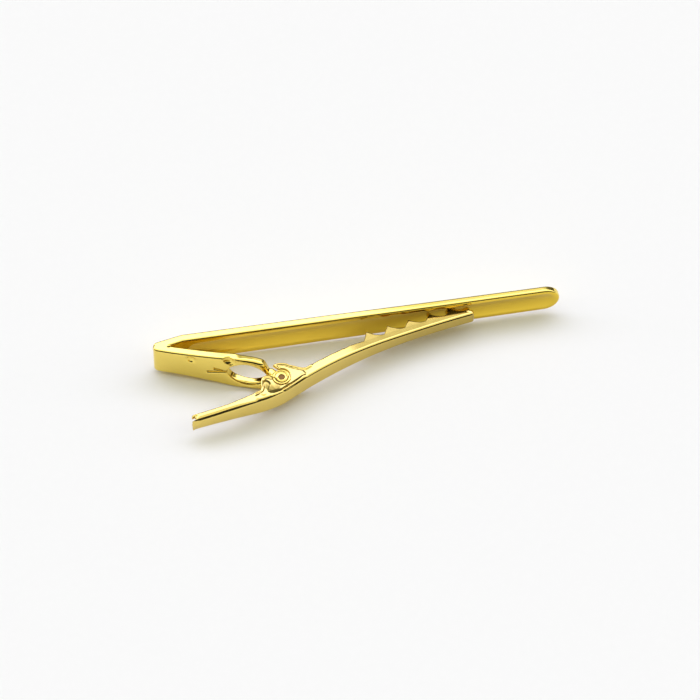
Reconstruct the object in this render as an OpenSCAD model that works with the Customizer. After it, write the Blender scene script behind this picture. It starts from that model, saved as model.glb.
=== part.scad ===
// Tie clip with a toothed spring lever, lying on its long edge.
// X runs along the bar from the fold to the tip, +Y is the worn front of the bar,
// Z is across its width. The origin is the middle of the flat front face.

/* [Bar] */
// Length over the fold and the round tip
clip_l = 60; // [54:0.5:68]
// Width of the strip at the fold
fold_w = 5.2; // [4.9:0.1:5.8]
// Width of the bar at its tip
tip_w = 4.6; // [4.1:0.1:5]
// Thickness of the strip at the fold and along the arm
strip_t = 1.2; // [1.05:0.05:1.35]
// Thickness of the bar at its tip
tip_t = 1; // [0.85:0.05:1.05]
// Depth of the hollow along the back of the bar
hollow_d = 0.25; // [0.1:0.05:0.4]
// Rim left beside that hollow
hollow_rim = 0.65; // [0.4:0.05:0.9]

/* [Fold] */
// Outer radius of the fold
fold_r = 0.8; // [0.7:0.05:0.95]
// Distance from the end of the fold to where the bar starts to lean back
lean_l = 4.4; // [3.6:0.1:5.2]
// Angle of that lean
lean_angle = 11; // [8:0.5:13]
// Angle between the bar and the arm that comes back under it
arm_angle = 20.5; // [18:0.5:23]

/* [Arm and window] */
// Width across the arm where its two rails spread round the window
flare_w = 6.9; // [6.3:0.1:7.5]
// Length of the window between its pointed ends
window_l = 6; // [5.4:0.1:6.3]
// Width of the window at its middle
window_w = 4.4; // [3.9:0.1:4.7]
// Metal left between the window and the bend of the neck
window_end = 0.4; // [0.3:0.05:0.8]
// Length of the slit that runs from the window towards the fold
slit_l = 3; // [2:0.1:3.3]
// Width of that slit
slit_w = 0.2; // [0.1:0.02:0.24]
// Depth of that slit
slit_d = 0.3; // [0.15:0.05:0.5]
// Radius of the ball that dents the upper edge of the arm
dent_r = 1.1; // [0.8:0.05:1.4]
// Width of the plain round dimple on the arm
dimple_w = 1.6; // [1.2:0.1:1.7]
// Depth of that dimple
dimple_d = 0.22; // [0.1:0.02:0.3]

/* [Knuckle] */
// Distance along the arm from the fold to the hinge line
knuckle_u = 18.3; // [17.5:0.1:20]
// Angle by which the neck bends away from the arm
neck_angle = 25; // [21:0.5:28]
// Distance of the hinge line from the middle of the arm's thickness
knuckle_drop = 0.83; // [0.7:0.01:0.95]
// Width of the neck, which runs between the lever's ears
neck_w = 2.28; // [2:0.02:2.3]
// Radius of the knuckle at the end of the neck
knuckle_r = 1.28; // [1.2:0.01:1.35]
// Radius of the pin that is pressed into the knuckle
pin_r = 0.5; // [0.42:0.01:0.55]
// Depth at which the pin's ends stand back in the knuckle
pin_recess = 0.15; // [0.05:0.05:0.25]

/* [Spring] */
// Thickness of the leaf
leaf_t = 0.25; // [0.2:0.01:0.3]
// Width of the leaf
leaf_w = 1.8; // [1.4:0.1:1.9]
// Radius of its rounded bend
leaf_r = 0.28; // [0.24:0.01:0.32]
// Length of the leaf that lies flat in the thumb end
leaf_foot = 3.4; // [2.5:0.1:4.5]
// Distance from the hinge line at which the leaf bears on the neck
leaf_reach = 1.6; // [1.4:0.05:1.8]

/* [Lever] */
// Sheet thickness of the lever's web
sheet_t = 0.4; // [0.3:0.05:0.5]
// Wall thickness of its flanges and ears
wall_t = 0.44; // [0.38:0.02:0.46]
// Width of the lever at its thumb end
tail_w = 2.6; // [2.4:0.1:3]
// Width of the lever across its ears
ear_w = 3.24; // [3.2:0.02:3.6]
// Width of the lever at its nose
nose_w = 2.14; // [1.9:0.02:2.5]
// Straight length of the thumb end
tail_l = 10.5; // [9:0.5:12]
// Angle of the thumb end to the bar, as drawn
tail_angle = 9.2; // [7:0.2:11]
// Length of the bend under the hinge
heel_l = 4.9; // [4.5:0.1:5.5]
// Angle turned by that bend
heel_turn = 19.3; // [18:0.1:21]
// Length of the bowed middle
bow_l = 16.3; // [15.5:0.1:17]
// Angle turned back by the bowed middle
bow_turn = 14.8; // [14:0.1:16]
// Length of the jaw
jaw_l = 13; // [12.5:0.1:13.5]
// Angle turned back by the jaw
jaw_turn = 5.4; // [4.5:0.1:6.5]
// Height of the flanges at the thumb end
tail_h = 1.15; // [1:0.05:1.4]
// Height of the flanges from the ears to the teeth
bow_h = 1.55; // [1.4:0.05:1.7]
// Length of the notch between the web and each flange, at the end of the thumb end
tongue_l = 0.6; // [0.4:0.05:0.8]
// Corner radius of the thumb end and of the nose, seen from outside
end_r = 0.4; // [0.3:0.05:0.5]
// Radius of the rounded nose, seen from the side
nose_r = 0.55; // [0.5:0.01:0.6]

/* [Ears] */
// Height of the hinge line above the outside of the web
pivot_h = 2.45; // [2.3:0.05:2.6]
// Radius of the round top of the ears
ear_r = 2.25; // [2.1:0.05:2.4]
// Radial clearance between the knuckle and its seats
seat_gap = 0.04; // [0.02:0.01:0.08]
// Width of the mouth of each seat
mouth_w = 1.65; // [1.5:0.05:1.8]
// Distance by which the mouth lies nearer the thumb end than the middle of the neck
mouth_shift = 0.12; // [0:0.01:0.15]
// Angle to which the lever opens before its ears meet the arm
open_angle = 14; // [11:0.5:14.5]
// Depth of the dish in the face of each ear
dish_d = 0.26; // [0.1:0.02:0.28]
// Radius of that dish at the face
dish_r = 3; // [2.6:0.1:3.2]
// Height of the rim below the dish, above the outside of the web
dish_rim = 0.45; // [0.35:0.05:0.6]

/* [Teeth] */
// Number of teeth on each flange
tooth_count = 5; // [3:1:5]
// Distance from tooth to tooth
tooth_pitch = 3.18; // [2.96:0.02:3.3]
// Height of the first tooth above the outside of the web
first_tip_h = 2.55; // [2.2:0.05:2.7]
// Height of the last tooth
last_tip_h = 1.9; // [1.7:0.05:2.1]
// Height of the root before the first tooth
first_root_h = 1.4; // [1.2:0.05:1.5]
// Height of the root before the last tooth
last_root_h = 1.25; // [1.1:0.05:1.35]
// Length of the steep side of a tooth
tooth_rise = 1; // [0.7:0.05:1.1]
// Distance from the last tooth to the end of the web
nose_run = 2.5; // [2.2:0.1:3]
// Clearance between the last tooth and the bar at rest
bite_gap = 0.05; // [0.02:0.01:0.1]

/* [Hidden] */
$fn = 72;
gold = [0.83, 0.69, 0.3];
spring_gold = [0.72, 0.6, 0.34];
// Amount by which a cut runs past the metal
overrun = 0.5;
// Clearance between the leaf and the metal that it bears on
leaf_gap = 0.03;
// Steps along each bend of a drawn curve
curve_steps = 16;

// Fold: its centre, the inner lines of the bar and the arm, and where they meet
fold_y = (fold_r - lean_l) * tan(lean_angle) - fold_r / cos(lean_angle);
taper_angle = atan((strip_t - tip_t) / (clip_l - lean_l));
arm_in = strip_t - fold_r;
arm_rise = fold_y + arm_in / cos(arm_angle) + fold_r * tan(arm_angle);
lean_rise = -lean_l * tan(lean_angle) - strip_t / cos(lean_angle);
seam_x = (arm_rise - lean_rise) / (tan(lean_angle) + tan(arm_angle));
seam_y = lean_rise + seam_x * tan(lean_angle);
seam_u = (seam_x - fold_r) * cos(arm_angle) - (seam_y - fold_y) * sin(arm_angle);
flat_mid_x = (lean_l + clip_l - tip_w / 2) / 2;

// Hollow along the back of the bar
hollow_w = tip_w - 2 * hollow_rim;
hollow_r = (pow(hollow_w / 2, 2) + pow(hollow_d, 2)) / (2 * hollow_d);

// Arm: where the neck bends, where the window lies and where the hinge line is
arm_mid = arm_in - strip_t / 2;
bend_u = knuckle_u - knuckle_drop / tan(neck_angle);
window_u = bend_u - window_end - window_l / 2;
window_r = (pow(window_l, 2) + pow(window_w, 2)) / (4 * window_w);
pivot = fold_point(knuckle_u, arm_mid - knuckle_drop);
mouth_angle = 180 - arm_angle - neck_angle;
knuckle_w = ear_w - dish_d;

// Lever: the runs of its web, each a length and the angle that it turns
web_runs = [[tail_l, 0], [heel_l, heel_turn], [bow_l, -bow_turn], [jaw_l, -jaw_turn]];
web_l = tail_l + heel_l + bow_l + jaw_l;
pivot_s = tail_l + heel_l;
last_tip_s = web_l - nose_run;
first_tip_s = last_tip_s - (tooth_count - 1) * tooth_pitch;
seat_r = knuckle_r + seat_gap;
tail_x = on_web(0, 0)[0];
nose_x = on_web(web_l, nose_r)[0] + nose_r;
// The lever is turned until its last tooth meets the hollow in the back of the bar
tip_place = on_web(last_tip_s, last_tip_h);
tip_y = bar_back(pivot[0] + tip_place[0]) + hollow_at(nose_w / 2) - bite_gap;
rest_turn = asin((tip_y - pivot[1]) / norm(tip_place)) - atan2(tip_place[1], tip_place[0]);

// Arm outline: shares of the run from the fold to the bend, and of the growth to the flare
flare_shares = [[0.13, 0], [0.32, 0.2], [0.5, 0.5], [0.64, 0.86], [0.74, 1], [0.82, 1.02], [0.885, 0.86], [0.94, 0.42]];
// Ear outline from the thumb side up to the mouth, as shares of the ear's radius
ear_back_shares = [[-1.84, -1], [-1.57, -0.91], [-1.43, -0.68], [-1.4, -0.32], [-1.32, -0.03], [-1.17, 0.12], [-0.99, 0.17]];
// Ear outline from its round top down to the bowed middle
ear_front_shares = [[0.62, 0.78], [1.02, 0.58], [1.35, 0.42], [1.75, 0.36]];
// Foot of the ear outline, which lies inside the flange
ear_foot_shares = [[1.35, -0.28], [0, -0.88], [-1.74, -1.25]];

function fold_point(u, v) = [
    fold_r + u * cos(arm_angle) + v * sin(arm_angle),
    fold_y - u * sin(arm_angle) + v * cos(arm_angle)
];

function bar_back(x) = -strip_t + (x - lean_l) * tan(taper_angle);

function hollow_at(z) = z > hollow_w / 2 ? 0 : hollow_d - hollow_r + sqrt(pow(hollow_r, 2) - pow(z, 2));

function ease(t) = let(c = min(max(t, 0), 1)) c * c * (3 - 2 * c);

function mix(a, b, t) = a + (b - a) * t;

function reversed(p) = [for (i = [len(p) - 1 : -1 : 0]) p[i]];

// Smooth curve through a list of points
function spline_point(a, b, c, d, t) =
    (2 * b + (c - a) * t + (2 * a - 5 * b + 4 * c - d) * t * t + (3 * b - a - 3 * c + d) * t * t * t) / 2;

function spline(p) = [
    for (i = [0 : len(p) - 2], k = [0 : curve_steps / 2 - 1])
        spline_point(p[max(i - 1, 0)], p[i], p[i + 1], p[min(i + 2, len(p) - 1)], 2 * k / curve_steps),
    p[len(p) - 1]
];

// Place and heading after a run of length l that turns by an angle
function run_on(p, l, turn) = turn == 0
    ? [p[0] + l * cos(p[2]), p[1] + l * sin(p[2]), p[2]]
    : let(r = l * 180 / (PI * turn))
        [p[0] + r * (sin(p[2] + turn) - sin(p[2])), p[1] - r * (cos(p[2] + turn) - cos(p[2])), p[2] + turn];

function web_at(s, i = 0, p = [0, 0, tail_angle]) =
    s <= web_runs[i][0] || i == len(web_runs) - 1
    ? run_on(p, s, web_runs[i][1] * s / web_runs[i][0])
    : web_at(s - web_runs[i][0], i + 1, run_on(p, web_runs[i][0], web_runs[i][1]));

// Point at a distance s along the outside of the web and h above it
function raised(s, h) = let(p = web_at(s)) [p[0] - h * sin(p[2]), p[1] + h * cos(p[2])];

// The same point, from the hinge line
function on_web(s, h) = raised(s, h) - raised(pivot_s, pivot_h);

// Distances along the web at which its curves are drawn
web_stops = [
    tail_l,
    for (k = [1 : curve_steps / 2]) tail_l + heel_l * 2 * k / curve_steps,
    for (k = [1 : curve_steps]) tail_l + heel_l + bow_l * k / curve_steps,
    for (k = [1 : curve_steps]) tail_l + heel_l + bow_l + jaw_l * k / curve_steps
];

function web_line(h, near, far) = [
    on_web(near, h),
    for (s = web_stops) if (s > near && s < far) on_web(s, h),
    on_web(far, h)
];

function tip_h(k) = mix(first_tip_h, last_tip_h, k / (tooth_count - 1));

function root_h(k) = mix(first_root_h, last_root_h, k / (tooth_count - 1));

// One tooth: the root before its steep side, its tip, and the hollow slope behind it
function tooth(k) = let(
    s = first_tip_s + k * tooth_pitch,
    slope_l = k < tooth_count - 1 ? tooth_pitch - tooth_rise : nose_run - nose_r,
    low = k < tooth_count - 1 ? root_h(k + 1) : 2 * nose_r
) [
    on_web(s - tooth_rise, root_h(k)),
    for (j = [0 : curve_steps / 2 - 1])
        let(t = 2 * j / curve_steps) on_web(s + slope_l * t, mix(low, tip_h(k), pow(1 - t, 2)))
];

// Half the lever's width at a place along it, and the same with its ends rounded
function side_w(x) =
    mix(tail_w, ear_w, ease((x - tail_x) / (-1.8 * ear_r - tail_x))) / 2
    + (nose_w - ear_w) / 2 * ease((x - 1.8 * ear_r) / (nose_x * 3 / 4 - 1.8 * ear_r));

function round_w(x) = let(c = min(max(min(x - tail_x, nose_x - x), 0), end_r))
    side_w(x) - end_r + sqrt(pow(end_r, 2) - pow(end_r - c, 2));

module placed() translate([-flat_mid_x, 0, 0]) children();

module arm_frame() translate([fold_r, fold_y, 0]) rotate([0, 0, -arm_angle]) children();

module hinge_frame() translate([pivot[0], pivot[1], 0]) children();

module knuckle_at() translate([knuckle_u, arm_mid - knuckle_drop, 0]) children();

module upright(h) linear_extrude(h, center = true) children();

// A shape drawn in X and Z, extruded along Y
module across(depth) rotate([90, 0, 0]) linear_extrude(depth, center = true) children();

module bar_plan() polygon([
    [clip_l, 0], [lean_l, 0],
    [fold_r - fold_r * sin(lean_angle), fold_y + fold_r * cos(lean_angle)],
    [fold_r, fold_y], [seam_x, seam_y],
    [lean_l, -strip_t], [clip_l, -tip_t]
]);

module bar_front() {
    tip_x = clip_l - tip_w / 2;
    polygon([
        [-fold_r, fold_w / 2], [-fold_r, -fold_w / 2], [lean_l, -fold_w / 2],
        [tip_x, -tip_w / 2], [tip_x, tip_w / 2], [lean_l, fold_w / 2]
    ]);
    translate([tip_x, 0]) circle(d = tip_w);
}

// Shallow round-bottomed hollow along the back of the bar
module bar_hollow() {
    run_l = clip_l - lean_l - hollow_w - 2 * hollow_rim;
    translate([lean_l, -strip_t, 0]) rotate([0, 0, taper_angle])
        translate([hollow_w / 2 + hollow_rim, hollow_d - hollow_r, 0]) {
            rotate([0, 90, 0]) cylinder(r = hollow_r, h = run_l);
            for (x = [0, run_l]) translate([x, 0, 0]) sphere(r = hollow_r);
        }
}

module bar() difference() {
    intersection() {
        upright(fold_w) bar_plan();
        across(4 * strip_t) bar_front();
    }
    intersection() {
        bar_hollow();
        translate([clip_l / 2, -strip_t, 0]) cube([clip_l, strip_t, fold_w], center = true);
    }
}

// Outline of the arm across its width, from the fold to the neck
module arm_front() {
    rise = [for (p = flare_shares) [p[0] * bend_u, mix(fold_w, flare_w, p[1]) / 2]];
    side = concat(
        [[0, fold_w / 2]],
        spline(concat(rise, [[bend_u * 0.985, neck_w / 2]])),
        [[bend_u + strip_t, neck_w / 2]]
    );
    polygon(concat(side, [for (p = reversed(side)) [p[0], -p[1]]]));
}

// Window shaped like an eye
module window() translate([window_u, arm_mid, 0]) intersection_for(side = [-1, 1])
    translate([0, 0, side * (window_r - window_w / 2)]) rotate([90, 0, 0])
        cylinder(r = window_r, h = 2 * strip_t, center = true);

// Forked slit that is left where the window was opened: a long lower prong and a short upper one
module slit() translate([window_u - window_l / 2, -fold_r, 0]) for (prong = [[1, -14], [0.64, 10]])
    rotate([0, prong[1], 0]) translate([-slit_l * prong[0] / 2, 0, 0])
        cube([slit_l * prong[0], 2 * slit_d, slit_w], center = true);

// Round dent in the upper edge of the arm's outer face
module dent() {
    dent_z = mix(fold_w, flare_w, 0.75) / 2 - dent_r * 0.35;
    translate([window_u - window_l / 2 + dent_r * 0.35, -fold_r - dent_r * 0.6, dent_z]) sphere(r = dent_r);
}

// Plain round dimple on the arm's outer face
module dimple() {
    ball_r = (pow(dimple_w / 2, 2) + pow(dimple_d, 2)) / (2 * dimple_d);
    translate([bend_u * 0.3, dimple_d - ball_r - fold_r, fold_w * 0.34]) sphere(r = ball_r);
}

module arm_plate() difference() {
    intersection() {
        upright(flare_w) union() {
            polygon([[0, 0], [0, -fold_r], [bend_u, -fold_r], [bend_u, arm_in], [seam_u, arm_in]]);
            translate([bend_u, arm_mid]) circle(d = strip_t);
        }
        across(4 * strip_t) arm_front();
    }
    window();
    slit();
    dent();
    dimple();
}

module neck() translate([bend_u, arm_mid, 0]) rotate([0, 0, -neck_angle])
    translate([0, -strip_t / 2, -neck_w / 2]) cube([norm([knuckle_u - bend_u, knuckle_drop]), strip_t, neck_w]);

module bar_body() color(gold) placed() difference() {
    union() {
        bar();
        translate([fold_r, fold_y, 0]) cylinder(r = fold_r, h = fold_w, center = true);
        arm_frame() {
            arm_plate();
            neck();
            knuckle_at() cylinder(r = knuckle_r, h = knuckle_w, center = true);
        }
    }
    hinge_frame() cylinder(r = pin_r, h = ear_w + overrun, center = true);
}

module pivot_pin() color(gold) placed() hinge_frame()
    cylinder(r = pin_r, h = knuckle_w - 2 * pin_recess, center = true);

// Straight strip of the leaf's thickness between two points
module leaf_run(from, to) translate(from) rotate(atan2(to[1] - from[1], to[0] - from[0]))
    translate([0, -leaf_t / 2]) square([norm(to - from), leaf_t]);

function turned(p) = [
    p[0] * cos(rest_turn) - p[1] * sin(rest_turn),
    p[0] * sin(rest_turn) + p[1] * cos(rest_turn)
];

// Leaf bent to a V: one leg on the web, the other under the neck
module leaf_spring() {
    lift = sheet_t + leaf_gap + leaf_t / 2;
    foot = turned(on_web(tail_l - leaf_foot, lift));
    heel = turned(on_web(tail_l, lift));
    apex = turned(on_web(pivot_s - heel_l / 2, sheet_t + leaf_gap + leaf_r));
    stand = strip_t / 2 + leaf_gap + leaf_t / 2;
    bearing = [
        leaf_reach * cos(mouth_angle) - stand * sin(mouth_angle),
        leaf_reach * sin(mouth_angle) + stand * cos(mouth_angle)
    ];
    color(spring_gold) placed() hinge_frame() upright(leaf_w) {
        leaf_run(foot, heel);
        leaf_run(heel, apex);
        leaf_run(apex, bearing);
        translate(heel) circle(d = leaf_t);
        translate(apex) circle(r = leaf_r);
        translate(bearing) circle(d = leaf_t);
    }
}

module lever_outline() {
    teeth = [for (k = [0 : tooth_count - 1]) each tooth(k)];
    flange = [
        on_web(0, tail_h * 0.85), on_web(tongue_l / 2, tail_h), on_web(tail_l * 0.55, tail_h),
        on_web(tail_l * 0.9, bow_h),
        for (k = [0 : curve_steps / 2]) on_web(mix(pivot_s, first_tip_s - 3 * tooth_rise, 2 * k / curve_steps), bow_h)
    ];
    polygon(concat(reversed(web_line(0, 0, web_l)), flange, teeth, [on_web(web_l, 2 * nose_r)]));
}

module ear_outline()
    polygon(concat(spline(ear_r * ear_back_shares), spline(ear_r * ear_front_shares), ear_r * ear_foot_shares));

module mouth() rotate(mouth_angle - rest_turn)
    translate([0, mouth_shift - mouth_w / 2]) square([2 * ear_r, mouth_w]);

// Corner taken off each ear where it would meet the arm, with the lever open
module relief() rotate(180 - arm_angle + open_angle - rest_turn) translate([ear_r * 0.74, -ear_r])
    square([2 * ear_r, ear_r - knuckle_drop + strip_t / 2 + 2 * seat_gap]);

// Notch at the bend between the web and each flange, at the thumb end
module tail_notches() for (side = [-1, 1]) translate(concat(on_web(0, sheet_t), side * tail_w / 2))
    rotate([0, 0, tail_angle]) cube([2 * tongue_l, sheet_t, 2 * wall_t], center = true);

// The lever seen from outside its web
module width_outline() {
    bends = [for (k = [0 : curve_steps / 2]) end_r * (1 - cos(180 * k / curve_steps))];
    xs = concat(
        [for (b = bends) tail_x + b],
        [for (k = [1 : 3 * curve_steps - 1]) mix(tail_x + end_r, nose_x - end_r, k / (3 * curve_steps))],
        [for (b = reversed(bends)) nose_x - b]
    );
    polygon(concat([for (x = xs) [x, round_w(x)]], [for (x = reversed(xs)) [x, -round_w(x)]]));
}

// Room between the flanges, open towards the bar and at the thumb end
module pocket() intersection() {
    xs = [for (k = [0 : 3 * curve_steps]) mix(tail_x - overrun, nose_x, k / (3 * curve_steps))];
    upright(ear_w) polygon(concat(
        web_line(sheet_t, -overrun, web_l - sheet_t),
        reversed(web_line(3 * ear_r, -overrun, web_l - sheet_t))
    ));
    across(16 * ear_r) polygon(concat(
        [for (x = xs) [x, side_w(x) - wall_t]],
        [for (x = reversed(xs)) [x, wall_t - side_w(x)]]
    ));
}

// Shallow round dishes in the outer faces of the ears
module dishes() {
    ball_r = (pow(dish_r, 2) + pow(dish_d, 2)) / (2 * dish_d);
    intersection() {
        upright(2 * ear_w) polygon(concat(
            web_line(dish_rim, tail_l / 2, first_tip_s),
            reversed(web_line(3 * ear_r, tail_l / 2, first_tip_s))
        ));
        for (side = [-1, 1])
            translate([0.06 * ear_r, -0.36 * ear_r, side * (ear_w / 2 - dish_d + ball_r)]) sphere(r = ball_r);
    }
}

module lever() color(gold) placed() hinge_frame() rotate([0, 0, rest_turn]) difference() {
    intersection() {
        union() {
            upright(ear_w) lever_outline();
            translate(on_web(web_l, nose_r)) cylinder(r = nose_r, h = ear_w, center = true);
            upright(ear_w) ear_outline();
            cylinder(r = ear_r, h = ear_w, center = true);
        }
        across(8 * ear_r) width_outline();
    }
    pocket();
    dishes();
    tail_notches();
    cylinder(r = seat_r, h = ear_w + overrun, center = true);
    upright(ear_w + overrun) mouth();
    upright(ear_w + overrun) relief();
}

bar_body();
pivot_pin();
leaf_spring();
lever();
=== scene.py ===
import math

import bpy
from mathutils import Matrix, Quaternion, Vector
from mathutils.bvhtree import BVHTree


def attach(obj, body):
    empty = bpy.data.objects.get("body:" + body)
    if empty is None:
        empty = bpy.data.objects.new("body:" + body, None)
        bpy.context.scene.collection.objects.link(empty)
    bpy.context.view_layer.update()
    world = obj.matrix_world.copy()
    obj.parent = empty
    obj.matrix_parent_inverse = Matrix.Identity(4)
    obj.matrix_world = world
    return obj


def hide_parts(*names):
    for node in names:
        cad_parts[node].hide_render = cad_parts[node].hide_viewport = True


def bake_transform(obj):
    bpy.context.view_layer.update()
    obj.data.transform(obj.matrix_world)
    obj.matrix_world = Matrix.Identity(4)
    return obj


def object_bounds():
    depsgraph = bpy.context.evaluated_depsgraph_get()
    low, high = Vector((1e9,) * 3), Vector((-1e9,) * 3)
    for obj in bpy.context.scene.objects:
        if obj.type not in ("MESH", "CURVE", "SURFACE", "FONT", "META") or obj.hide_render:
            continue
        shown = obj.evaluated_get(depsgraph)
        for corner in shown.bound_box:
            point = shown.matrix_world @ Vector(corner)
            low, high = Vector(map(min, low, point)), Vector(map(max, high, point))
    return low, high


MM = 0.001

# The photograph's view
ELEVATION = math.radians(55.0)
AZIMUTH = math.radians(-10.158)
ROLL = math.radians(0.487)
DISTANCE = 0.6
LOOK_AT = Vector((-0.002823, -0.005024, 0.000147))
FOCAL_MM = 213.2
SENSOR_MM = 36.0
NEAREST = 0.01

# How finely each CAD solid is copied, and how many times its surface is smoothed
WELD = 0.000001
LEVER_VOXEL = 0.05 * MM
BAR_VOXEL = 0.065 * MM
LEVER_PASSES = 2
BAR_PASSES = 3
PIN_PASSES = 3
LEAF_PASSES = 2

# The lever is smoothed more where it has no teeth: passes, where its teeth begin, and run of the change
PLAIN_PASSES = 14
TEETH_START = -2.6 * MM
TEETH_RUN = 1.2 * MM

# It is smoothed once more along the lower wall of the ear's dish: both ends, reach, fade and passes
FOOT = (Vector((-15.1 * MM, -11.7 * MM)), Vector((-9.8 * MM, -9.2 * MM)))
FOOT_R = 0.5 * MM
FOOT_FADE = 0.25 * MM
FOOT_PASSES = 90

# How far a face must be turned to count as one side or another, as a part of its normal
SQUARE = 0.995
BROAD = 0.85
EDGEWISE = 0.6
STEEP = 0.5
TURNED = 0.3
UPRIGHT = 0.05

# Hinge line, and the ear's outer face and inner face, as heights across the clip
HINGE = (-13.47 * MM, -8.89 * MM)
EAR_OUT = 1.62 * MM
EAR_IN = 1.18 * MM

# Nothing nearer to the hinge line than these is filleted on the lever and on the bar
SEAT_REACH = 2.35 * MM
KNUCKLE_REACH = 1.5 * MM

# Radius of the lever's folded edges at its thumb end and at its jaw, and the run from one to the other
TAIL_BEND = 0.74 * MM
JAW_BEND = 0.42 * MM
BEND_RUN = 5.0 * MM
BEND_SHIFT = 1.6
NOSE_START = 14.4 * MM

# The jaw's flanges lean in a little: slope, and where along the clip the lean begins and is full
JAW_LEAN = 0.066
LEAN_START = -5.5 * MM
LEAN_RUN = 5.0 * MM

# Its teeth are drawn out a little, from this height above the web, to make up for the smoothing
TOOTH_FOOT = 1.3 * MM
TOOTH_GAIN = 0.2

# Edge of an ear: how far out it lies, and how far from the hinge line along, below and around
EAR_SKIN = 0.8 * EAR_OUT
EAR_REACH = 4.3 * MM
EAR_FOOT = -2.2 * MM
SEAT_EDGE = 1.6 * MM

# Raised rim round each ear, and the reach of all that is pressed into one
RIM_W = 0.34 * MM
RIM_H = 0.15 * MM
PRESS_REACH = 6.0 * MM

# Dish pressed into each ear: place from the hinge line, radius, depth and wall
DISH = Vector((0.25 * MM, -0.5 * MM))
DISH_R = 3.15 * MM
DISH_DEPTH = 0.10 * MM
DISH_WALL = 0.25 * MM

# Troughs behind the ear's back edge and along its foot: both ends, radius and depth
TROUGHS = (
    (Vector((-2.4 * MM, -1.0 * MM)), Vector((-3.0 * MM, -2.5 * MM)), 0.6 * MM, 0.21 * MM),
    (Vector((-3.7 * MM, -3.05 * MM)), Vector((-0.7 * MM, -2.5 * MM)), 0.5 * MM, 0.12 * MM),
)

# Radius of the bar's rolled edges, on the lever's side and on the front
STRIP_ROUND = 0.34 * MM
INNER_ROUND = 0.14 * MM

# Where the fold ends, where the arm begins, and the arm's outer face as a line across X and Y
FOLD_END = -30.1 * MM
ARM_LIMIT = -3.0 * MM
ARM_ANGLE = math.radians(20.5)
ARM_FACE = (-30.53 * MM, -2.264 * MM)

# The rails beside the window are rounded more, from this place on
RAIL_ROUND = 0.57 * MM
RAIL_START = -19.7 * MM
RAIL_RUN = 1.5 * MM

# The rails' upper and lower edges lean back: slope, run of its start, and half width
RAIL_LEAN = 0.085
RAIL_LEAN_RUN = 0.9 * MM
RAIL_HEIGHT = 3.4 * MM

# The bar's edges lean back towards the tip: slope, start and run, the depth of its back, half width
BAR_LEAN = 0.06
BAR_LEAN_START = -6.0 * MM
BAR_LEAN_RUN = 16.0 * MM
BAR_BACK = -1.2 * MM
BAR_HALF = 3.0 * MM

# The arm's dimple is pressed a little deeper: place, reach and depth
DIMPLE = Vector((-25.88 * MM, -4.0 * MM, 1.77 * MM))
DIMPLE_R = 0.9 * MM
DIMPLE_MORE = 0.13 * MM

# Ends of the knuckle: radius and half width, and how deep they are bowled
KNUCKLE_R = 1.3 * MM
KNUCKLE_END = 1.40 * MM
KNUCKLE_BOWL = 0.16 * MM

# Seam of the strip that is rolled into the knuckle: inner and outer radius, width and depth
ROLL_IN = 0.62 * MM
ROLL_OUT = 1.08 * MM
SEAM_W = 0.08 * MM
SEAM_DEPTH = 0.14 * MM

# Gold plate: patches of colour, painted shade in creases, haze in the polish, waves, and swirls left by
# the wheel
PATCH_SCALE = 160.0
PATCH_DETAIL = 3.0
CREASE_START = 0.48
CREASE_FULL = 0.40
HAZE_SCALE = 700.0
HAZE_DETAIL = 4.0
SMOOTHEST = 0.7
ROUGHEST = 1.4
WAVE_DETAIL = 1.5
SWIRL_SCALE = 3500.0
SWIRL_DETAIL = 2.0
SWIRL_DEPTH = 0.0000004

# Painted reflection on the bar's back and painted shade on the jaw's web, as a darker, more saturated
# gold on faces turned to the lever's side: colour, axis, where it begins and is full
# The bar's back is darkened as a painted reflection of the gold lever and arm that face it
BAR_PAINTED_REFLECTION = ((0.80, 0.56, 0.06), "Y", -2.2 * MM, -1.7 * MM)
# The jaw's web is darkened as painted shade, for the shadowed table that it mirrors
JAW_PAINTED_SHADE = ((0.52, 0.38, 0.09), "X", -8.0 * MM, 10.0 * MM)
FACING = (-0.5, -0.9)

# Light round the clip: angle over the top from behind it to the front, and brightness
SKY_STOPS = (
    (0, 0.10), (40, 0.14), (48, 0.9), (53, 2.5), (66, 2.5), (80, 1.4), (103, 0.7),
    (107, 1.7), (115, 1.7), (119, 0.12), (140, 0.03), (180, 0.05),
)

# Blue share of the soft box, which is a little cooler than the rest, and the level that marks it
COOL = 1.45
BOX_LEVEL = 2.0

# Paper of the table: two tones, scale of its grain, and size
PAPER = ((0.98, 0.98, 0.815, 1.0), (0.995, 0.995, 0.83, 1.0))
GRAIN_SCALE = 900.0
TABLE = 6.0


def socket(node, name, value):
    node.inputs[name].default_value = value


def nodes_of(material):
    material.use_nodes = True
    tree = material.node_tree
    tree.nodes.clear()
    return tree.nodes, tree.links


def noise(nodes, links, place, scale, detail):
    texture = nodes.new("ShaderNodeTexNoise")
    links.new(place.outputs["Object"], texture.inputs["Vector"])
    socket(texture, "Scale", scale)
    socket(texture, "Detail", detail)
    return texture.outputs["Fac"]


def mixed(nodes, links, share, first, second):
    """Mix of a first colour, which may be a node's output, and a second one, by a share."""
    mix = nodes.new("ShaderNodeMix")
    mix.data_type = "RGBA"
    links.new(share, mix.inputs["Factor"])
    if isinstance(first, bpy.types.NodeSocket):
        links.new(first, mix.inputs["A"])
    else:
        socket(mix, "A", first)
    socket(mix, "B", second)
    return mix.outputs["Result"]


def bumped(nodes, links, height, depth):
    bump = nodes.new("ShaderNodeBump")
    socket(bump, "Strength", 1.0)
    socket(bump, "Distance", depth)
    links.new(height, bump.inputs["Height"])
    return bump


def smooth_share(nodes, links, output, low, high):
    """Share from 0 to 1 as a value runs from low to high."""
    share = nodes.new("ShaderNodeMapRange")
    share.interpolation_type = "SMOOTHSTEP"
    socket(share, "From Min", low)
    socket(share, "From Max", high)
    links.new(output, share.inputs["Value"])
    return share.outputs["Result"]


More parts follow.
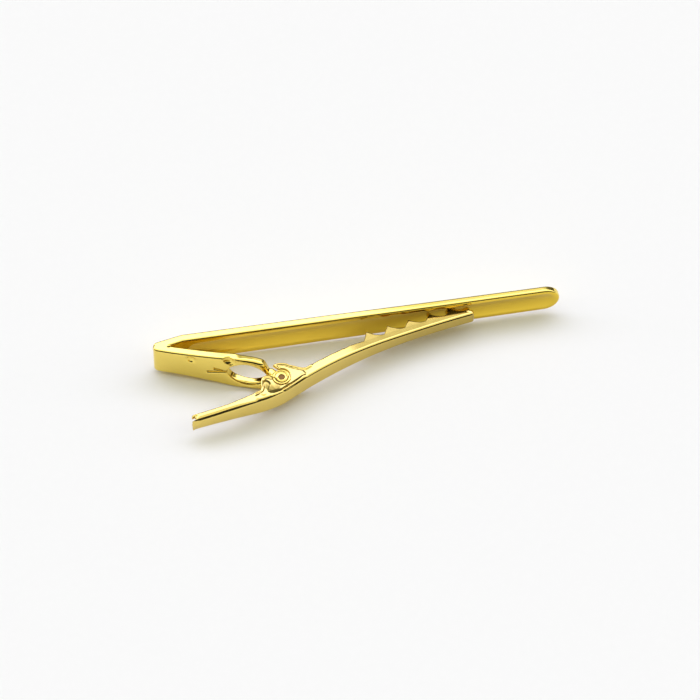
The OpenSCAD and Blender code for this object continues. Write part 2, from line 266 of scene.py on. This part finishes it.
def painted_light_share(nodes, links, place, bends, axis, start, full):
    """Share of the painted shade and painted reflection, by the place along an axis and the way that a
    face is turned.
    """
    spot = nodes.new("ShaderNodeSeparateXYZ")
    links.new(place.outputs["Object"], spot.inputs["Vector"])
    facing = nodes.new("ShaderNodeSeparateXYZ")
    links.new(bends.outputs["Normal"], facing.inputs["Vector"])
    both = nodes.new("ShaderNodeMath")
    both.operation = "MULTIPLY"
    links.new(smooth_share(nodes, links, spot.outputs[axis], start, full), both.inputs[0])
    links.new(smooth_share(nodes, links, facing.outputs["Y"], *FACING), both.inputs[1])
    return both.outputs["Value"]


def gold(name, colour, warm, crease_shade, roughness, ripple, ripple_scale, painted_light=None):
    """Polished gold plate, uneven in colour, with painted shade darkening its creases, soft ripples and
    fine swirls.
    """
    material = bpy.data.materials.new(name)
    nodes, links = nodes_of(material)
    out = nodes.new("ShaderNodeOutputMaterial")
    shader = nodes.new("ShaderNodeBsdfPrincipled")
    links.new(shader.outputs["BSDF"], out.inputs["Surface"])
    socket(shader, "Metallic", 1.0)
    place = nodes.new("ShaderNodeTexCoord")
    bends = nodes.new("ShaderNodeNewGeometry")

    patches = noise(nodes, links, place, PATCH_SCALE, PATCH_DETAIL)
    plate = mixed(nodes, links, patches, (*colour, 1.0), (*warm, 1.0))
    # Painted shade and painted reflection: a darker, more saturated gold laid over faces by place and
    # facing
    if painted_light:
        share = painted_light_share(nodes, links, place, bends, *painted_light[1:])
        plate = mixed(nodes, links, share, plate, (*painted_light[0], 1.0))
    # Painted shade: a dark brown mixed in where the surface is hollow, by its pointiness
    crease = nodes.new("ShaderNodeMapRange")
    socket(crease, "From Min", CREASE_START)
    socket(crease, "From Max", CREASE_FULL)
    links.new(bends.outputs["Pointiness"], crease.inputs["Value"])
    crease_shaded = mixed(nodes, links, crease.outputs["Result"], plate, (*crease_shade, 1.0))
    links.new(crease_shaded, shader.inputs["Base Color"])

    rough = nodes.new("ShaderNodeMapRange")
    socket(rough, "To Min", roughness * SMOOTHEST)
    socket(rough, "To Max", roughness * ROUGHEST)
    links.new(noise(nodes, links, place, HAZE_SCALE, HAZE_DETAIL), rough.inputs["Value"])
    links.new(rough.outputs["Result"], shader.inputs["Roughness"])

    waves = noise(nodes, links, place, ripple_scale, WAVE_DETAIL)
    swirls = noise(nodes, links, place, SWIRL_SCALE, SWIRL_DETAIL)
    broad = bumped(nodes, links, waves, ripple)
    fine = bumped(nodes, links, swirls, SWIRL_DEPTH)
    links.new(broad.outputs["Normal"], fine.inputs["Normal"])
    links.new(fine.outputs["Normal"], shader.inputs["Normal"])
    return material


def paper():
    """White table paper with a faint grain."""
    material = bpy.data.materials.new("paper")
    nodes, links = nodes_of(material)
    out = nodes.new("ShaderNodeOutputMaterial")
    shader = nodes.new("ShaderNodeBsdfDiffuse")
    links.new(shader.outputs["BSDF"], out.inputs["Surface"])
    place = nodes.new("ShaderNodeTexCoord")
    grain = noise(nodes, links, place, GRAIN_SCALE, 2.0)
    links.new(mixed(nodes, links, grain, *PAPER), shader.inputs["Color"])
    return material


def ease(t):
    t = min(max(t, 0.0), 1.0)
    return t * t * (3.0 - 2.0 * t)


def off_segment(spot, start, end):
    along = (spot - start).dot(end - start) / (end - start).length_squared
    return (spot - start.lerp(end, min(max(along, 0.0), 1.0))).length


def from_hinge(place):
    return place.x - HINGE[0], place.y - HINGE[1]


def evaluated(piece):
    """Replaces a piece's mesh by the one that its modifiers make."""
    graph = bpy.context.evaluated_depsgraph_get()
    mesh = bpy.data.meshes.new_from_object(piece.evaluated_get(graph))
    piece.modifiers.clear()
    piece.data = mesh


def face_tree(mesh, wanted):
    """Search tree of the faces that a test picks by normal and centre."""
    points = [v.co.copy() for v in mesh.vertices]
    faces = [tuple(p.vertices) for p in mesh.polygons if wanted(p.normal, p.center)]
    return BVHTree.FromPolygons(points, faces)


def fillet(mesh, first, second, radius_at):
    """Rounds the outer corner between two sets of faces, with a radius that follows the place."""
    for vertex in mesh.vertices:
        radius = radius_at(vertex.co)
        near_a, out_a, _, a = first.find_nearest(vertex.co, radius)
        near_b, out_b, _, b = second.find_nearest(vertex.co, radius)
        if near_a is None or near_b is None:
            continue
        reach = math.hypot(radius - a, radius - b)
        if reach > radius:
            share = 1.0 - radius / reach
            vertex.co -= (out_a * (radius - a) + out_b * (radius - b)) * share


def smoothed(piece, passes, group=""):
    smooth = piece.modifiers.new("smooth", "SMOOTH")
    smooth.factor = 0.5
    smooth.iterations = passes
    smooth.vertex_group = group
    evaluated(piece)


def smooth_lever(piece):
    """Smooths the lever further where it has no teeth, and most along the lower wall of the dish."""
    plain = piece.vertex_groups.new(name="plain")
    for vertex in piece.data.vertices:
        plain.add([vertex.index], ease((TEETH_START - vertex.co.x) / TEETH_RUN), "REPLACE")
    smoothed(piece, PLAIN_PASSES, "plain")
    foot = piece.vertex_groups.new(name="foot")
    for vertex in piece.data.vertices:
        distance = off_segment(Vector(vertex.co[:2]), *FOOT)
        if abs(vertex.co.z) > EAR_IN and distance < FOOT_R:
            foot.add([vertex.index], ease((FOOT_R - distance) / FOOT_FADE), "REPLACE")
    smoothed(piece, FOOT_PASSES, "foot")
    piece.vertex_groups.clear()


def worn_copy(node, material, voxel, passes, round_edges=None, smooth_more=None):
    """Fine copy of a CAD node, with its edges rounded as folding, tumbling and plating leave them."""
    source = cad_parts[node]
    piece = bpy.data.objects.new(node + "_worn", source.data.copy())
    bpy.context.collection.objects.link(piece)
    piece.modifiers.new("weld", "WELD").merge_threshold = WELD
    evaluated(piece)
    sharp = piece.data.copy()
    remesh = piece.modifiers.new("remesh", "REMESH")
    remesh.mode = "VOXEL"
    remesh.voxel_size = voxel
    evaluated(piece)
    if round_edges:
        round_edges(sharp, piece.data)
    smoothed(piece, passes)
    if smooth_more:
        smooth_more(piece)
    piece.data.materials.clear()
    piece.data.materials.append(material)
    for face in piece.data.polygons:
        face.use_smooth = True
    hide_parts(node)
    return piece


def outer_side(normal, centre):
    return abs(normal.z) > SQUARE and normal.z * centre.z > 0.0


def web_side(normal, centre):
    outside = normal.y < -TURNED or (normal.x > TURNED and centre.x > NOSE_START)
    return outside and abs(normal.z) < STEEP and math.hypot(*from_hinge(centre)) > SEAT_REACH


def ear_edge(normal, centre):
    x, y = from_hinge(centre)
    on_ear = abs(x) < EAR_REACH and y > EAR_FOOT and math.hypot(x, y) > SEAT_EDGE
    return on_ear and abs(normal.z) < STEEP and abs(centre.z) > EAR_SKIN


def lever_bend(place):
    return TAIL_BEND + (JAW_BEND - TAIL_BEND) * ease((place.x - HINGE[0]) / BEND_RUN + BEND_SHIFT)


def shape_jaw(web, mesh):
    """Leans the jaw's flanges in towards their teeth, and draws the teeth out."""
    for vertex in mesh.vertices:
        share = ease((vertex.co.x - LEAN_START) / LEAN_RUN)
        near, _, _, height = web.find_nearest(vertex.co)
        if share == 0.0 or near is None or height < JAW_BEND:
            continue
        up = Vector((vertex.co.x - near.x, vertex.co.y - near.y, 0.0)).normalized()
        vertex.co += up * TOOTH_GAIN * max(height - TOOTH_FOOT, 0.0) * share
        vertex.co.z -= math.copysign(JAW_LEAN * share * (height - JAW_BEND), vertex.co.z)


def press_ears(sharp, mesh):
    """Presses a dish and two troughs into each ear and raises a rim round them."""
    edges = face_tree(sharp, ear_edge)
    for vertex in mesh.vertices:
        spot = Vector(from_hinge(vertex.co))
        outer = ease((abs(vertex.co.z) - EAR_IN) / (EAR_OUT - EAR_IN) * 2.0)
        if outer == 0.0 or spot.length > PRESS_REACH:
            continue
        near, _, _, distance = edges.find_nearest(vertex.co, 2.0 * RIM_W)
        rim = 0.0 if near is None else ease(1.5 - distance / RIM_W)
        sink = DISH_DEPTH * ease((DISH_R - (spot - DISH).length) / DISH_WALL + 0.5)
        for start, end, radius, depth in TROUGHS:
            sink = max(sink, depth * ease(1.5 - off_segment(spot, start, end) / radius))
        vertex.co.z += math.copysign((RIM_H * rim - sink * (1.0 - rim)) * outer, vertex.co.z)


def round_lever(sharp, mesh):
    web = face_tree(sharp, web_side)
    fillet(mesh, web, face_tree(sharp, outer_side), lever_bend)
    shape_jaw(web, mesh)
    press_ears(sharp, mesh)


def on_fold(normal, centre):
    return centre.x < FOLD_END and abs(normal.z) < UPRIGHT


def lever_side(normal, centre):
    broad = normal.y < -BROAD or (on_fold(normal, centre) and normal.y < STEEP)
    return broad and math.hypot(*from_hinge(centre)) > KNUCKLE_REACH


def front_side(normal, centre):
    broad = normal.y > BROAD or (on_fold(normal, centre) and normal.y >= STEEP)
    return broad and math.hypot(*from_hinge(centre)) > KNUCKLE_REACH


def rim_side(normal, centre):
    rim = abs(normal.y) < EDGEWISE and not on_fold(normal, centre)
    return rim and math.hypot(*from_hinge(centre)) > KNUCKLE_REACH


def strip_round(place):
    if place.y >= ARM_LIMIT:
        return STRIP_ROUND
    return STRIP_ROUND + (RAIL_ROUND - STRIP_ROUND) * ease((place.x - RAIL_START) / RAIL_RUN)


def lean_rails(mesh):
    """Leans the rails' upper and lower edges back, away from the arm's outer face."""
    for vertex in mesh.vertices:
        if vertex.co.y > ARM_LIMIT:
            continue
        share = ease((vertex.co.x - RAIL_START) / RAIL_LEAN_RUN)
        along_x = (vertex.co.x - ARM_FACE[0]) * math.sin(ARM_ANGLE)
        along_y = (vertex.co.y - ARM_FACE[1]) * math.cos(ARM_ANGLE)
        vertex.co.z *= 1.0 - RAIL_LEAN * share * max(along_x + along_y, 0.0) / RAIL_HEIGHT


def lean_bar(mesh):
    """Leans the bar's upper and lower edges back, more and more towards its tip."""
    for vertex in mesh.vertices:
        if vertex.co.y > 1.5 * BAR_BACK:
            share = ease((vertex.co.x - BAR_LEAN_START) / BAR_LEAN_RUN)
            vertex.co.z *= 1.0 - BAR_LEAN * share * max(vertex.co.y - BAR_BACK, 0.0) / BAR_HALF


def press_dimple(mesh):
    """Deepens the dimple in the arm."""
    inward = Vector((math.sin(ARM_ANGLE), math.cos(ARM_ANGLE), 0.0))
    for vertex in mesh.vertices:
        away = (vertex.co - DIMPLE).length
        if away < DIMPLE_R:
            vertex.co += inward * DIMPLE_MORE * ease((DIMPLE_R - away) / DIMPLE_R)


def roll_knuckle(mesh):
    """Bowls both ends of the knuckle and cuts the seam of the rolled strip into them."""
    for vertex in mesh.vertices:
        x, y = from_hinge(vertex.co)
        if abs(vertex.co.z) < KNUCKLE_END or math.hypot(x, y) > KNUCKLE_R:
            continue
        turn = (math.atan2(y, x) + math.pi) / (2.0 * math.pi)
        off = (math.hypot(x, y) - ROLL_IN - (ROLL_OUT - ROLL_IN) * turn) / SEAM_W
        bowl = KNUCKLE_BOWL * max(1.0 - (math.hypot(x, y) / ROLL_OUT) ** 2, 0.0)
        vertex.co.z -= math.copysign(SEAM_DEPTH * math.exp(-off * off) + bowl, vertex.co.z)


def round_bar(sharp, mesh):
    rims = face_tree(sharp, rim_side)
    fillet(mesh, face_tree(sharp, lever_side), rims, strip_round)
    fillet(mesh, face_tree(sharp, front_side), rims, lambda place: INNER_ROUND)
    lean_rails(mesh)
    lean_bar(mesh)
    press_dimple(mesh)
    roll_knuckle(mesh)


def sky():
    """A pale studio: a soft box up behind the clip, a strip in front and dark gaps between them."""
    world = bpy.data.worlds.new("studio")
    bpy.context.scene.world = world
    nodes, links = nodes_of(world)
    out = nodes.new("ShaderNodeOutputWorld")
    back = nodes.new("ShaderNodeBackground")
    links.new(back.outputs["Background"], out.inputs["Surface"])
    place = nodes.new("ShaderNodeTexCoord")
    turn = nodes.new("ShaderNodeVectorRotate")
    turn.rotation_type = "Z_AXIS"
    socket(turn, "Angle", -AZIMUTH)
    links.new(place.outputs["Generated"], turn.inputs["Vector"])
    split = nodes.new("ShaderNodeSeparateXYZ")
    links.new(turn.outputs["Vector"], split.inputs["Vector"])
    angle = nodes.new("ShaderNodeMath")
    angle.operation = "ARCTAN2"
    links.new(split.outputs["Z"], angle.inputs[0])
    links.new(split.outputs["Y"], angle.inputs[1])
    share = nodes.new("ShaderNodeMapRange")
    socket(share, "From Max", math.pi)
    links.new(angle.outputs["Value"], share.inputs["Value"])
    ramp = nodes.new("ShaderNodeValToRGB")
    links.new(share.outputs["Result"], ramp.inputs["Fac"])
    stops = ramp.color_ramp.elements
    while len(stops) < len(SKY_STOPS):
        stops.new(1.0)
    for stop, (degrees, level) in zip(stops, SKY_STOPS):
        stop.position = degrees / 180.0
        stop.color = (level, level, level * (COOL if level > BOX_LEVEL else 1.0), 1.0)
    links.new(ramp.outputs["Color"], back.inputs["Color"])
    socket(back, "Strength", 1.0)


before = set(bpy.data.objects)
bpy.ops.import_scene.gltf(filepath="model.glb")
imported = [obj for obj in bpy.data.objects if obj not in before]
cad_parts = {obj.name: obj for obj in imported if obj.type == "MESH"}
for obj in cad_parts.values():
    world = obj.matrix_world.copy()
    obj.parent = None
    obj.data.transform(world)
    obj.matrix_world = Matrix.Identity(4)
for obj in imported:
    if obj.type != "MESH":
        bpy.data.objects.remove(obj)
cad_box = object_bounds()

bar_gold = gold(
    "bar_gold", (0.92, 0.72, 0.175), (0.89, 0.68, 0.13), (0.42, 0.24, 0.03), 0.10, 0.00004, 120.0,
    BAR_PAINTED_REFLECTION,
)
lever_gold = gold(
    "lever_gold", (0.79, 0.61, 0.17), (0.75, 0.56, 0.13), (0.40, 0.23, 0.03), 0.12, 0.00005, 220.0,
    JAW_PAINTED_SHADE,
)
# The pin's gold is painted near black, as painted shade in the bore of the knuckle
pin_gold_painted_shade = gold(
    "pin_gold_painted_shade", (0.10, 0.05, 0.012), (0.20, 0.11, 0.03), (0.06, 0.03, 0.01), 0.2, 0.00001, 600.0,
)
spring_gold = gold(
    "spring_gold", (0.82, 0.66, 0.32), (0.74, 0.58, 0.26), (0.40, 0.24, 0.05), 0.22, 0.00001, 400.0,
)

bar = worn_copy("bar_body", bar_gold, BAR_VOXEL, BAR_PASSES, round_bar)
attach(bar, "bar")
lever = worn_copy(
    "lever", lever_gold, LEVER_VOXEL, LEVER_PASSES, round_lever, smooth_lever,
)
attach(lever, "lever")
pin = worn_copy("pivot_pin", pin_gold_painted_shade, LEVER_VOXEL, PIN_PASSES)
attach(pin, "bar")
leaf = worn_copy("leaf_spring", spring_gold, LEVER_VOXEL, LEAF_PASSES)
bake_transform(leaf)

floor_z = cad_box[0][2]
bpy.ops.mesh.primitive_plane_add(size=TABLE, location=(0.0, 0.0, floor_z))
floor = bpy.context.object
floor.name = "floor"
floor.data.materials.append(paper())

sky()

camera_data = bpy.data.cameras.new("camera")
camera_data.lens = FOCAL_MM
camera_data.sensor_width = SENSOR_MM
camera_data.clip_start = NEAREST
camera = bpy.data.objects.new("camera", camera_data)
away = Vector((
    math.sin(AZIMUTH) * math.cos(ELEVATION),
    -math.cos(AZIMUTH) * math.cos(ELEVATION),
    math.sin(ELEVATION),
))
camera.location = LOOK_AT + away * DISTANCE
rolled = away.to_track_quat("Z", "Y") @ Quaternion((0.0, 0.0, 1.0), ROLL)
camera.rotation_euler = rolled.to_euler()
bpy.context.collection.objects.link(camera)
bpy.context.scene.camera = camera

bpy.context.scene.view_settings.view_transform = "Standard"
